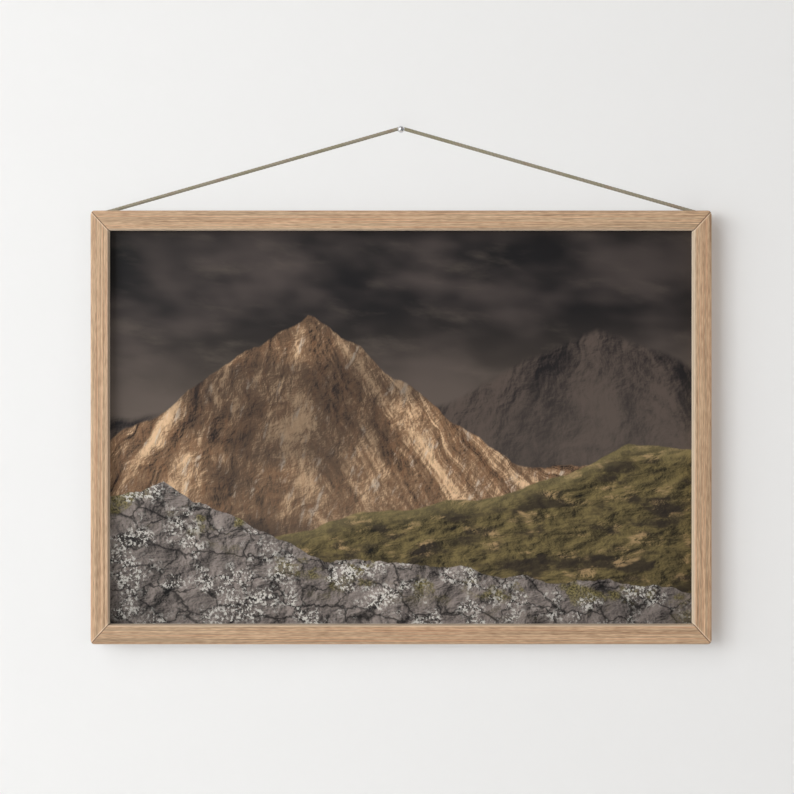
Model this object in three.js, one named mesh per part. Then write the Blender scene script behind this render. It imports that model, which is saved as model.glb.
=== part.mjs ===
// A landscape picture in a light oak frame, hung by a cord from one ball-headed wall pin.
//
// Millimetres. +X is to the right and +Z is up, seen from the front. The wall is the plane
// y = 0 and the picture faces -Y. The origin is the point where the pin enters the wall.
import * as THREE from "three";
import { mergeVertices } from "three/addons/utils/BufferGeometryUtils.js";

// Driving dimensions of the frame
const FRAME_WIDTH = 650;
const FRAME_HEIGHT = 454;
const RAIL_DEPTH = 20;
const LEVEL_RAIL_FACE = 20;
const UPRIGHT_RAIL_FACE = 18.35;
const REBATE_WIDTH = 6.5;
const RECESS = 12.3;
const OUTER_ROUNDING = 0.9;
const INNER_ROUNDING = 0.5;
const MITRE_GAP = 0.3;

// How the frame hangs: its stand-off from the wall, and its top edge below the pin
const STAND_OFF = 6;
const TOP_BELOW_PIN = 86.8;

// The picture and what holds it in the rebate
const PRINT_THICKNESS = 0.5;
const BOARD_THICKNESS = 3;
const BOARD_PLAY = 1;
const TAB_WIDTH = 8;
const TAB_LENGTH = 14;
const TAB_THICKNESS = 0.7;
const TOUCH_GAP = 0.2;

// The cord and what it runs over
const CORD_DIAMETER = 3.4;
const CORD_SIDES = 8;
const CORD_STEP_DIAMETERS = 3;
const CORD_FROM_WALL = 3.4;
const PEG_X = 311;
const PEG_BELOW_TOP = 6.29;
const PEG_RADIUS = 5.5;
const PEG_FLANGE_RADIUS = 6.1;
const PEG_FLANGE_THICKNESS = 0.9;
const SCREW_X = 316.8;
const SCREW_BELOW_TOP = 37;
const SCREW_SHANK_RADIUS = 1.75;
const SCREW_HEAD_RADIUS = 4.5;
const SCREW_HEAD_THICKNESS = 1.4;
const SLEEVE_BELOW_TOP = 20.8;
const SLEEVE_LENGTH = 9;
const SLEEVE_WALL = 0.55;
const EYE_LEG_LEAD = 0.8;
const EYE_ARC_STEPS = 14;

// The wall pin
const PIN_TILT = THREE.MathUtils.degToRad(5);
const PIN_SHANK_RADIUS = 1.2;
const PIN_BALL_RADIUS = 3.5;
const PIN_BALL_FROM_WALL = 9;
const PIN_IN_WALL = 22;
const PIN_POINT_LENGTH = 4.5;

// The bumpers that keep the frame off the wall
const BUMPER_RADIUS = 5;
const BUMPER_CHAMFER = 0.4;
const TOP_BUMPER_X = 285;
const BOTTOM_BUMPER_FROM_EDGE = 7;

// Places worked out from the sizes above
const FRAME_TOP = -TOP_BELOW_PIN;
const FRAME_BOTTOM = FRAME_TOP - FRAME_HEIGHT;
const FRAME_MIDDLE = (FRAME_TOP + FRAME_BOTTOM) / 2;
const RAIL_BACK = -STAND_OFF;
const RAIL_FRONT = RAIL_BACK - RAIL_DEPTH;
const SHOULDER = RAIL_FRONT + RECESS;
const REBATE_HALF_WIDTH = FRAME_WIDTH / 2 - UPRIGHT_RAIL_FACE + REBATE_WIDTH;
const REBATE_HALF_HEIGHT = FRAME_HEIGHT / 2 - LEVEL_RAIL_FACE + REBATE_WIDTH;
const CORD_RADIUS = CORD_DIAMETER / 2;

// The cord's route in the plane y = -CORD_FROM_WALL, as [x, z], from the middle of the pin to
// the right-hand sleeve: over the pin, straight down to the frame's back corner, round the peg
// and down the back of the upright rail. The left half mirrors it.
const CORD_ROUTE_RIGHT = [
  [0.0, 3.39],
  [2.06, 3.1],
  [79.81, -19.14],
  [157.56, -41.39],
  [235.31, -63.63],
  [313.06, -85.88],
  [315.25, -86.91],
  [316.99, -88.58],
  [318.11, -90.71],
  [318.5, -93.09],
  [318.5, -100.2],
  [318.5, -107.3],
];

const oak = new THREE.MeshStandardMaterial({ color: 0xb99a7c, roughness: 0.55, metalness: 0 });
const printPaper = new THREE.MeshStandardMaterial({ color: 0x6d6450, roughness: 0.6, metalness: 0 });
const hardboard = new THREE.MeshStandardMaterial({ color: 0x93704c, roughness: 0.85, metalness: 0 });
const springSteel = new THREE.MeshStandardMaterial({ color: 0xaeb0b0, roughness: 0.35, metalness: 1 });
const brass = new THREE.MeshStandardMaterial({ color: 0xb18f52, roughness: 0.35, metalness: 1 });
const cordCotton = new THREE.MeshStandardMaterial({ color: 0x99937d, roughness: 0.9, metalness: 0 });
const bumperRubber = new THREE.MeshStandardMaterial({ color: 0x37353a, roughness: 0.8, metalness: 0 });
const chrome = new THREE.MeshStandardMaterial({ color: 0xd9dadc, roughness: 0.06, metalness: 1 });

/** Merges a geometry's shared vertices and turns its faces outwards. */
function closedBody(geometry) {
  const bare = geometry.clone();
  bare.deleteAttribute("normal");
  bare.deleteAttribute("uv");
  const merged = mergeVertices(bare, 1e-4);
  const places = merged.getAttribute("position");
  const corners = merged.getIndex();
  const [a, b, c] = [new THREE.Vector3(), new THREE.Vector3(), new THREE.Vector3()];
  let volume = 0;
  for (let i = 0; i < corners.count; i += 3) {
    a.fromBufferAttribute(places, corners.getX(i));
    b.fromBufferAttribute(places, corners.getX(i + 1));
    c.fromBufferAttribute(places, corners.getX(i + 2));
    volume += a.dot(b.cross(c));
  }
  if (volume < 0) {
    merged.setIndex(Array.from(corners.array).reverse());
  }
  merged.computeVertexNormals();
  return merged;
}

/** Makes one named mesh of a closed body. */
function piece(name, geometry, material) {
  const mesh = new THREE.Mesh(closedBody(geometry), material);
  mesh.name = name;
  return mesh;
}

/** The section of a rail: x runs in from the outer edge, y back from the front face. */
function railSection(face) {
  const section = new THREE.Shape();
  section.moveTo(OUTER_ROUNDING, 0);
  section.lineTo(face - INNER_ROUNDING, 0);
  section.absarc(face - INNER_ROUNDING, INNER_ROUNDING, INNER_ROUNDING, -Math.PI / 2, 0, false);
  section.lineTo(face, RECESS);
  section.lineTo(face - REBATE_WIDTH, RECESS);
  section.lineTo(face - REBATE_WIDTH, RAIL_DEPTH);
  section.lineTo(OUTER_ROUNDING, RAIL_DEPTH);
  section.absarc(OUTER_ROUNDING, RAIL_DEPTH - OUTER_ROUNDING, OUTER_ROUNDING, Math.PI / 2, Math.PI, false);
  section.lineTo(0, OUTER_ROUNDING);
  section.absarc(OUTER_ROUNDING, OUTER_ROUNDING, OUTER_ROUNDING, Math.PI, Math.PI * 1.5, false);
  return section;
}

/** A rail with mitred ends: each end's points slide in by their distance from the outer edge. */
function railGeometry(face, neighbourFace, length) {
  const geometry = new THREE.ExtrudeGeometry(railSection(face), {
    depth: length,
    steps: 1,
    curveSegments: 3,
    bevelEnabled: false,
  });
  geometry.translate(0, 0, -length / 2);
  const slope = neighbourFace / face;
  const endGap = (MITRE_GAP / 2) * Math.hypot(1, slope);
  const places = geometry.getAttribute("position");
  for (let i = 0; i < places.count; i += 1) {
    const end = Math.sign(places.getZ(i));
    places.setZ(i, places.getZ(i) - end * (places.getX(i) * slope + endGap));
  }
  return geometry;
}

/** The four rails, each turned about the Y axis so that its section's x points to the middle. */
function makeRails() {
  const rails = new THREE.Group();
  const level = railGeometry(LEVEL_RAIL_FACE, UPRIGHT_RAIL_FACE, FRAME_WIDTH);
  const upright = railGeometry(UPRIGHT_RAIL_FACE, LEVEL_RAIL_FACE, FRAME_HEIGHT);
  const places = [
    { name: "rail_top", geometry: level, x: 0, z: FRAME_TOP, quarterTurns: 1 },
    { name: "rail_bottom", geometry: level, x: 0, z: FRAME_BOTTOM, quarterTurns: -1 },
    { name: "rail_left", geometry: upright, x: -FRAME_WIDTH / 2, z: FRAME_MIDDLE, quarterTurns: 0 },
    { name: "rail_right", geometry: upright, x: FRAME_WIDTH / 2, z: FRAME_MIDDLE, quarterTurns: 2 },
  ];
  for (const place of places) {
    const rail = piece(place.name, place.geometry, oak);
    rail.position.set(place.x, RAIL_FRONT, place.z);
    rail.rotation.y = (place.quarterTurns * Math.PI) / 2;
    rails.add(rail);
  }
  return rails;
}

/** The print behind the rails' shoulder, and the board behind the print. */
function makePicture() {
  const picture = new THREE.Group();
  const width = 2 * (REBATE_HALF_WIDTH - BOARD_PLAY);
  const height = 2 * (REBATE_HALF_HEIGHT - BOARD_PLAY);
  const layers = [
    { name: "print_sheet", thickness: PRINT_THICKNESS, front: SHOULDER + TOUCH_GAP, material: printPaper },
    {
      name: "backing_board",
      thickness: BOARD_THICKNESS,
      front: SHOULDER + PRINT_THICKNESS + 2 * TOUCH_GAP,
      material: hardboard,
    },
  ];
  for (const layer of layers) {
    const sheet = piece(layer.name, new THREE.BoxGeometry(width, layer.thickness, height), layer.material);
    sheet.position.set(0, layer.front + layer.thickness / 2, FRAME_MIDDLE);
    picture.add(sheet);
  }
  return picture;
}

/** One flat retaining tab with a round tip, its root at the origin, reaching along +Y. */
function tabGeometry() {
  const outline = new THREE.Shape();
  const half = TAB_WIDTH / 2;
  outline.moveTo(-half, 0);
  outline.lineTo(half, 0);
  outline.lineTo(half, TAB_LENGTH - half);
  outline.absarc(0, TAB_LENGTH - half, half, 0, Math.PI, false);
  return new THREE.ExtrudeGeometry(outline, {
    depth: TAB_THICKNESS,
    curveSegments: 8,
    bevelEnabled: false,
  });
}

/** Steel tabs pushed into the rebate's walls, lying on the back of the board. */
function makeTabs() {
  const tabs = new THREE.Group();
  const boardBack = SHOULDER + PRINT_THICKNESS + BOARD_THICKNESS + 2 * TOUCH_GAP;
  const reachX = REBATE_HALF_WIDTH - TOUCH_GAP;
  const reachZ = REBATE_HALF_HEIGHT - TOUCH_GAP;
  const sides = [
    { name: "top", turn: Math.PI, along: [-232, -78, 78, 232], at: (s) => [s, reachZ] },
    { name: "bottom", turn: 0, along: [-232, -78, 78, 232], at: (s) => [s, -reachZ] },
    { name: "left", turn: -Math.PI / 2, along: [-80, 80], at: (s) => [-reachX, s] },
    { name: "right", turn: Math.PI / 2, along: [-80, 80], at: (s) => [reachX, s] },
  ];
  for (const side of sides) {
    side.along.forEach((offset, index) => {
      const [x, z] = side.at(offset);
      const tab = piece(`tab_${side.name}_${index + 1}`, tabGeometry(), springSteel);
      const turned = new THREE.Group();
      tab.rotation.z = side.turn;
      turned.rotation.x = Math.PI / 2;
      turned.position.set(x, boardBack + TOUCH_GAP + TAB_THICKNESS, FRAME_MIDDLE + z);
      turned.add(tab);
      tabs.add(turned);
    });
  }
  return tabs;
}

/** A round piece turned about the Y axis, from a profile of [radius, y] pairs. */
function turnedPiece(name, profile, sides, material) {
  const points = profile.map(([radius, y]) => new THREE.Vector2(radius, y));
  return piece(name, new THREE.LatheGeometry(points, sides), material);
}

/** Four rubber bumpers, whose round back faces touch the wall. */
function makeBumpers() {
  const bumpers = new THREE.Group();
  const bottomX = FRAME_WIDTH / 2 - BOTTOM_BUMPER_FROM_EDGE;
  const topZ = FRAME_TOP - (LEVEL_RAIL_FACE - REBATE_WIDTH) / 2;
  const bottomZ = FRAME_BOTTOM + BOTTOM_BUMPER_FROM_EDGE;
  const places = [
    ["bumper_top_left", -TOP_BUMPER_X, topZ],
    ["bumper_top_right", TOP_BUMPER_X, topZ],
    ["bumper_bottom_left", -bottomX, bottomZ],
    ["bumper_bottom_right", bottomX, bottomZ],
  ];
  const profile = [
    [0, RAIL_BACK + TOUCH_GAP],
    [BUMPER_RADIUS, RAIL_BACK + TOUCH_GAP],
    [BUMPER_RADIUS, -BUMPER_CHAMFER],
    [BUMPER_RADIUS - BUMPER_CHAMFER, 0],
    [0, 0],
  ];
  for (const [name, x, z] of places) {
    const bumper = turnedPiece(name, profile, 24, bumperRubber);
    bumper.position.set(x, 0, z);
    bumpers.add(bumper);
  }
  return bumpers;
}

/** The peg that turns the cord at a back corner, and the pan-head screw that it is tied to. */
function makeCordHardware(side, sign) {
  const hardware = new THREE.Group();
  const foot = RAIL_BACK + TOUCH_GAP;
  const flangeBack = -CORD_FROM_WALL + CORD_RADIUS + PEG_FLANGE_THICKNESS + TOUCH_GAP;
  const flangeFront = flangeBack - PEG_FLANGE_THICKNESS;
  const headFront = -CORD_FROM_WALL + CORD_RADIUS + TOUCH_GAP;
  const peg = turnedPiece(`corner_peg_${side}`, [
    [0, foot],
    [PEG_RADIUS, foot],
    [PEG_RADIUS, flangeFront],
    [PEG_FLANGE_RADIUS, flangeFront],
    [PEG_FLANGE_RADIUS, flangeBack - PEG_FLANGE_THICKNESS / 2],
    [PEG_RADIUS, flangeBack],
    [0, flangeBack],
  ], 24, brass);
  peg.position.set(sign * PEG_X, 0, FRAME_TOP - PEG_BELOW_TOP);
  const screw = turnedPiece(`tie_screw_${side}`, [
    [0, foot],
    [SCREW_SHANK_RADIUS, foot],
    [SCREW_SHANK_RADIUS, headFront],
    [SCREW_HEAD_RADIUS, headFront],
    [SCREW_HEAD_RADIUS * 0.9, headFront + SCREW_HEAD_THICKNESS * 0.55],
    [SCREW_HEAD_RADIUS * 0.55, headFront + SCREW_HEAD_THICKNESS],
    [0, headFront + SCREW_HEAD_THICKNESS],
  ], 20, brass);
  screw.position.set(sign * SCREW_X, 0, FRAME_TOP - SCREW_BELOW_TOP);
  hardware.add(peg, screw);
  return hardware;
}

/** The flat metal sleeve that clamps the cord and its turned-back end side by side. */
function makeSleeve(side, sign) {
  const halfThickness = CORD_RADIUS + SLEEVE_WALL;
  const outline = new THREE.Shape();
  outline.absarc(CORD_RADIUS, 0, halfThickness, -Math.PI / 2, Math.PI / 2, false);
  outline.absarc(-CORD_RADIUS, 0, halfThickness, Math.PI / 2, Math.PI * 1.5, false);
  const sleeve = piece(`cord_sleeve_${side}`, new THREE.ExtrudeGeometry(outline, {
    depth: SLEEVE_LENGTH,
    curveSegments: 8,
    bevelEnabled: false,
  }), brass);
  sleeve.position.set(sign * SCREW_X, -CORD_FROM_WALL, FRAME_TOP - SLEEVE_BELOW_TOP - SLEEVE_LENGTH);
  return sleeve;
}

/** The cord's end turned back round the tie screw: two legs out of the sleeve, and an arc. */
function makeEye(side, sign) {
  const radius = SCREW_SHANK_RADIUS + CORD_RADIUS + TOUCH_GAP;
  const legTop = SCREW_BELOW_TOP - SLEEVE_BELOW_TOP - SLEEVE_LENGTH - TOUCH_GAP;
  const legBend = legTop - EYE_LEG_LEAD;
  const fromScrew = Math.hypot(CORD_RADIUS, legBend);
  const touchAngle = Math.atan2(CORD_RADIUS, legBend) + Math.acos(radius / fromScrew);
  const rings = [new THREE.Vector3(CORD_RADIUS, 0, legTop), new THREE.Vector3(CORD_RADIUS, 0, legBend)];
  for (let step = 0; step <= EYE_ARC_STEPS; step += 1) {
    const angle = THREE.MathUtils.lerp(touchAngle, 2 * Math.PI - touchAngle, step / EYE_ARC_STEPS);
    rings.push(new THREE.Vector3(radius * Math.sin(angle), 0, radius * Math.cos(angle)));
  }
  rings.push(new THREE.Vector3(-CORD_RADIUS, 0, legBend), new THREE.Vector3(-CORD_RADIUS, 0, legTop));
  const eye = cordTube(`cord_eye_${side}`, rings);
  eye.position.set(sign * SCREW_X, -CORD_FROM_WALL, FRAME_TOP - SCREW_BELOW_TOP);
  return eye;
}

/** The whole route, from the left sleeve over the pin to the right sleeve, as points. */
function cordRoute() {
  const right = CORD_ROUTE_RIGHT.map(([x, z]) => new THREE.Vector3(x, -CORD_FROM_WALL, z));
  const left = right.slice(1).reverse().map((point) => new THREE.Vector3(-point.x, point.y, point.z));
  return [...left, ...right];
}

/** Adds evenly spaced points wherever two neighbours lie further apart than the longest step. */
function spreadRings(points, longestStep) {
  const rings = [points[0]];
  for (let i = 1; i < points.length; i += 1) {
    const start = points[i - 1];
    const end = points[i];
    const count = Math.ceil(start.distanceTo(end) / longestStep);
    for (let k = 1; k <= count; k += 1) {
      rings.push(start.clone().lerp(end, k / count));
    }
  }
  return rings;
}

/** A path whose equal parameter steps land on the given rings, with their mean directions. */
class RingPath extends THREE.Curve {
  constructor(rings) {
    super();
    this.rings = rings;
  }

  getPoint(t, target = new THREE.Vector3()) {
    const at = THREE.MathUtils.clamp(t, 0, 1) * (this.rings.length - 1);
    const before = Math.min(Math.floor(at), this.rings.length - 2);
    return target.lerpVectors(this.rings[before], this.rings[before + 1], at - before);
  }

  getPointAt(u, target) {
    return this.getPoint(u, target);
  }

  getTangentAt(u, target = new THREE.Vector3()) {
    const last = this.rings.length - 1;
    const here = Math.round(u * last);
    const ahead = this.direction(Math.min(here, last - 1));
    const behind = this.direction(Math.max(here - 1, 0));
    return target.addVectors(ahead, behind).normalize();
  }

  direction(index) {
    return this.rings[index + 1].clone().sub(this.rings[index]).normalize();
  }
}

/** A length of the cord: its many-sided round section carried through the given rings. */
function cordTube(name, rings) {
  const section = new THREE.Shape();
  for (let side = 0; side < CORD_SIDES; side += 1) {
    const angle = (side / CORD_SIDES) * 2 * Math.PI;
    const [x, y] = [CORD_RADIUS * Math.cos(angle), CORD_RADIUS * Math.sin(angle)];
    if (side === 0) {
      section.moveTo(x, y);
    } else {
      section.lineTo(x, y);
    }
  }
  return piece(name, new THREE.ExtrudeGeometry(section, {
    steps: rings.length - 1,
    extrudePath: new RingPath(rings),
    bevelEnabled: false,
  }), cordCotton);
}

/** The wall pin, turned about its own axis: point, shank and ball head. */
function makePin() {
  const ballCentre = PIN_BALL_FROM_WALL / Math.cos(PIN_TILT);
  const neck = Math.sqrt(PIN_BALL_RADIUS ** 2 - PIN_SHANK_RADIUS ** 2);
  const neckAngle = Math.atan2(-neck, PIN_SHANK_RADIUS);
  const ballSteps = 12;
  const profile = [
    [0, -PIN_IN_WALL],
    [PIN_SHANK_RADIUS, -PIN_IN_WALL + PIN_POINT_LENGTH],
  ];
  for (let step = 0; step < ballSteps; step += 1) {
    const angle = THREE.MathUtils.lerp(neckAngle, Math.PI / 2, step / ballSteps);
    profile.push([PIN_BALL_RADIUS * Math.cos(angle), ballCentre + PIN_BALL_RADIUS * Math.sin(angle)]);
  }
  profile.push([0, ballCentre + PIN_BALL_RADIUS]);
  const pin = turnedPiece("wall_pin", profile, 24, chrome);
  pin.rotation.x = Math.PI - PIN_TILT;
  return pin;
}

const group = new THREE.Group();
group.add(makeRails(), makePicture(), makeTabs(), makeBumpers());
for (const [side, sign] of [["left", -1], ["right", 1]]) {
  group.add(makeCordHardware(side, sign), makeSleeve(side, sign), makeEye(side, sign));
}
group.add(cordTube("cord", spreadRings(cordRoute(), CORD_STEP_DIAMETERS * CORD_DIAMETER)), makePin());

export default group;
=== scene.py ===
"""A landscape print in a slim oak frame, hung by a twisted cord from one ball-headed wall pin.

Everything is in metres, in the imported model's frame: +X is to the right and +Z is up, seen from
the front, the wall is the plane y = 0, and the print faces -Y. The origin is the point where the
pin enters the wall. Colours are red, green and blue as a display shows them, 0 to 255.
"""

from __future__ import annotations

import logging
import math
from dataclasses import dataclass, field
from enum import Enum
from typing import Any

import bmesh
import bpy
import numpy as np
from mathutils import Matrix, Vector

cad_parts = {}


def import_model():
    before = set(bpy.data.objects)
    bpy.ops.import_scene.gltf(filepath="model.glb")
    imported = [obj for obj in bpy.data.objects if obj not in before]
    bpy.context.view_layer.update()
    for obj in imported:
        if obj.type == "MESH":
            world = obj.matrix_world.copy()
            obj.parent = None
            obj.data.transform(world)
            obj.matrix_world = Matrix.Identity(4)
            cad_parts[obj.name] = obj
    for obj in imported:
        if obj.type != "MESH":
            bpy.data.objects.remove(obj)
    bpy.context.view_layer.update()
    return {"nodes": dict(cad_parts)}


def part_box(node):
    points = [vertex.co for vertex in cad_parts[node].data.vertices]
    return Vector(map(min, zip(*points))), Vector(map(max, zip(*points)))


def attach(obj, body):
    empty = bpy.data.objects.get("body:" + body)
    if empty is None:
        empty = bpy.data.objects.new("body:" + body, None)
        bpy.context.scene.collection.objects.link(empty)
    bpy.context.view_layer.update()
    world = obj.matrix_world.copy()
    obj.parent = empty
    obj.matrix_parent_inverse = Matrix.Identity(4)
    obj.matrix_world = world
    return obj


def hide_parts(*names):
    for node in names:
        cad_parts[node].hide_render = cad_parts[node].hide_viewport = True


MM = 0.001
SMOOTH_ANGLE = 40.0
LOG = logging.getLogger("framed_print")

Array = np.ndarray
Colour = tuple[float, float, float]
Triple = tuple[float, float, float]
Piece = bpy.types.Object
Material = bpy.types.Material


class Grain(Enum):
    """The way a rail's grain runs, as the index of the axis."""

    LEVEL = 0
    UPRIGHT = 2


class Side(Enum):
    """The two sides of the frame, each with its sign along X."""

    LEFT = -1
    RIGHT = 1

    @property
    def label(self) -> str:
        """The side as the nodes' names spell it."""
        return self.name.lower()


def linear(colour: Colour) -> tuple[float, ...]:
    """Turns a colour as a display shows it into the linear one that shaders use.

    The display standard's curve is a short straight part and then a power of 2.4.

    Args:
        colour: The colour, 0 to 255.

    Returns:
        Linear red, green and blue, and an alpha of 1.
    """
    shown = np.array(colour) / 255
    curve = np.where(shown <= 0.04045, shown / 12.92, ((shown + 0.055) / 1.055) ** 2.4)
    return (*curve.tolist(), 1.0)


class Value:
    """One value in a shader: a socket whose operators add Math nodes."""

    def __init__(self, shader: Shader, socket: bpy.types.NodeSocket) -> None:
        """Wraps an output socket of a shader."""
        self.shader = shader
        self.socket = socket

    def maths(self, operation: str, *others: Any) -> Value:
        """One Math node, whose first operand is this value."""
        operands = dict(enumerate((self, *others)))
        return self.shader.node("ShaderNodeMath", {"operation": operation}, operands)

    def __add__(self, other: Any) -> Value:
        """This value plus another."""
        return self.maths("ADD", other)

    def __sub__(self, other: Any) -> Value:
        """This value less another."""
        return self.maths("SUBTRACT", other)

    def __rsub__(self, other: float) -> Value:
        """A number less this value."""
        return self.maths("MULTIPLY_ADD", -1.0, other)

    def __mul__(self, other: Any) -> Value:
        """This value times another."""
        return self.maths("MULTIPLY", other)

    def __truediv__(self, other: Any) -> Value:
        """This value over another."""
        return self.maths("DIVIDE", other)

    __radd__ = __add__
    __rmul__ = __mul__

    def size(self) -> Value:
        """This value without its sign."""
        return self.maths("ABSOLUTE")

    def most(self, other: Any) -> Value:
        """The larger of this value and another."""
        return self.maths("MAXIMUM", other)

    def rise(self, low: float, high: float) -> Value:
        """A smooth step from 0 at low to 1 at high; it falls where low is above high.

        Args:
            low: Where the step starts.
            high: Where the step ends.

        Returns:
            A value between 0 and 1.
        """
        inputs = {"Value": self, "From Min": min(low, high), "From Max": max(low, high)}
        inputs |= {"To Min": float(low > high), "To Max": float(low < high)}
        return self.shader.node("ShaderNodeMapRange", {"interpolation_type": "SMOOTHSTEP"}, inputs)


class Shader:
    """The node tree of a material or a world, with one method that makes any node."""

    def __init__(self, owner: Material | bpy.types.World) -> None:
        """Empties the owner's node tree.

        Args:
            owner: The material or world.
        """
        owner.use_nodes = True
        self.owner = owner
        self.tree = owner.node_tree
        self.tree.nodes.clear()

    @classmethod
    def of_material(cls, name: str) -> Shader:
        """The shader of a new material of that name."""
        return cls(bpy.data.materials.new(name))

    def add(
        self,
        kind: str,
        settings: dict[str, Any] | None = None,
        inputs: dict[Any, Any] | None = None,
    ) -> bpy.types.Node:
        """Makes one node.

        Args:
            kind: The node's type.
            settings: Its own settings, set before its sockets.
            inputs: Values or constants by socket name or index.

        Returns:
            The node.
        """
        made = self.tree.nodes.new(kind)
        for key, value in (settings or {}).items():
            setattr(made, key, value)
        for key, value in (inputs or {}).items():
            if isinstance(value, Value):
                self.tree.links.new(value.socket, made.inputs[key])
            else:
                made.inputs[key].default_value = value
        return made

    def node(self, kind: str, settings: Any = None, inputs: Any = None, output: Any = 0) -> Value:
        """The wanted output of a new node, which takes the same arguments as add."""
        return Value(self, self.add(kind, settings, inputs).outputs[output])

    def place(self, scale: Triple, shift: Triple) -> Value:
        """The object coordinate in so many units per metre, moved by a number of units."""
        inputs = {"Vector": self.node("ShaderNodeTexCoord", output="Object"), "Scale": scale}
        return self.node("ShaderNodeMapping", inputs=inputs | {"Location": shift})

    def split(self, vector: Value) -> tuple[Value, ...]:
        """A vector's three parts."""
        made = self.add("ShaderNodeSeparateXYZ", inputs={0: vector})
        return tuple(Value(self, part) for part in made.outputs)

    def join(self, x: Any, y: Any, z: Any) -> Value:
        """A vector of three parts."""
        return self.node("ShaderNodeCombineXYZ", inputs={0: x, 1: y, 2: z})

    def noise(self, vector: Value, detail: float, roughness: float = 0.5, bend: float = 0.0) -> Value:
        """Soft noise between 0 and 1, about 0.5 on average; bend curls its forms."""
        inputs = {"Vector": vector, "Scale": 1.0, "Detail": detail, "Roughness": roughness}
        return self.node("ShaderNodeTexNoise", inputs=inputs | {"Distortion": bend})

    def grit(self, scale: float | Triple, shift: Triple, detail: float, roughness: float = 0.5) -> Value:
        """Soft noise fixed to the piece, with so many grains to a metre along each axis."""
        scales = scale if isinstance(scale, tuple) else (scale,) * 3
        return self.noise(self.place(scales, shift), detail, roughness)

    def attribute(self, name: str) -> Value:
        """A number that the mesh holds at each point."""
        return self.node("ShaderNodeAttribute", {"attribute_name": name}, output="Fac")

    def mix(self, factor: Any, low: Value | Colour, high: Value | Colour) -> Value:
        """Mixes two colours.

        Args:
            factor: How much of the second shows, 0 to 1.
            low: The first colour.
            high: The second colour.

        Returns:
            The mixed colour.
        """
        low, high = (part if isinstance(part, Value) else linear(part) for part in (low, high))
        settings = {"data_type": "RGBA", "clamp_factor": True}
        return self.node("ShaderNodeMix", settings, {0: factor, 6: low, 7: high}, output=2)

    def coats(self, colour: Value, *coats: tuple[Any, Value | Colour]) -> Value:
        """Lays coats over a colour in turn.

        Args:
            colour: The colour below.
            coats: How much each coat covers, 0 to 1, and its colour.

        Returns:
            The colour on top.
        """
        for cover, coat in coats:
            colour = self.mix(cover, colour, coat)
        return colour

    def bump(self, height: Value, depth: float, strength: float) -> Value:
        """A normal bent by a height of 0 to 1, where 1 is a depth in metres."""
        inputs = {"Strength": strength, "Distance": depth, "Height": height}
        return self.node("ShaderNodeBump", inputs=inputs)

    def output(self, surface: Value, kind: str = "ShaderNodeOutputMaterial") -> None:
        """Links a surface to the output."""
        self.add(kind, inputs={"Surface": surface})

    def finish(self, **inputs: Any) -> Material:
        """Adds the Principled shader and the output.

        Args:
            inputs: The shader's inputs, with underscores for spaces.

        Returns:
            The finished material.
        """
        named = {key.replace("_", " "): value for key, value in inputs.items()}
        self.output(self.node("ShaderNodeBsdfPrincipled", inputs=named))
        return self.owner


@dataclass(frozen=True)
class Streaks:
    """Noise stretched along a rail's grain: its size along and across the grain, in metres."""

    along: float
    across: float
    detail: float
    seed: float


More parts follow.
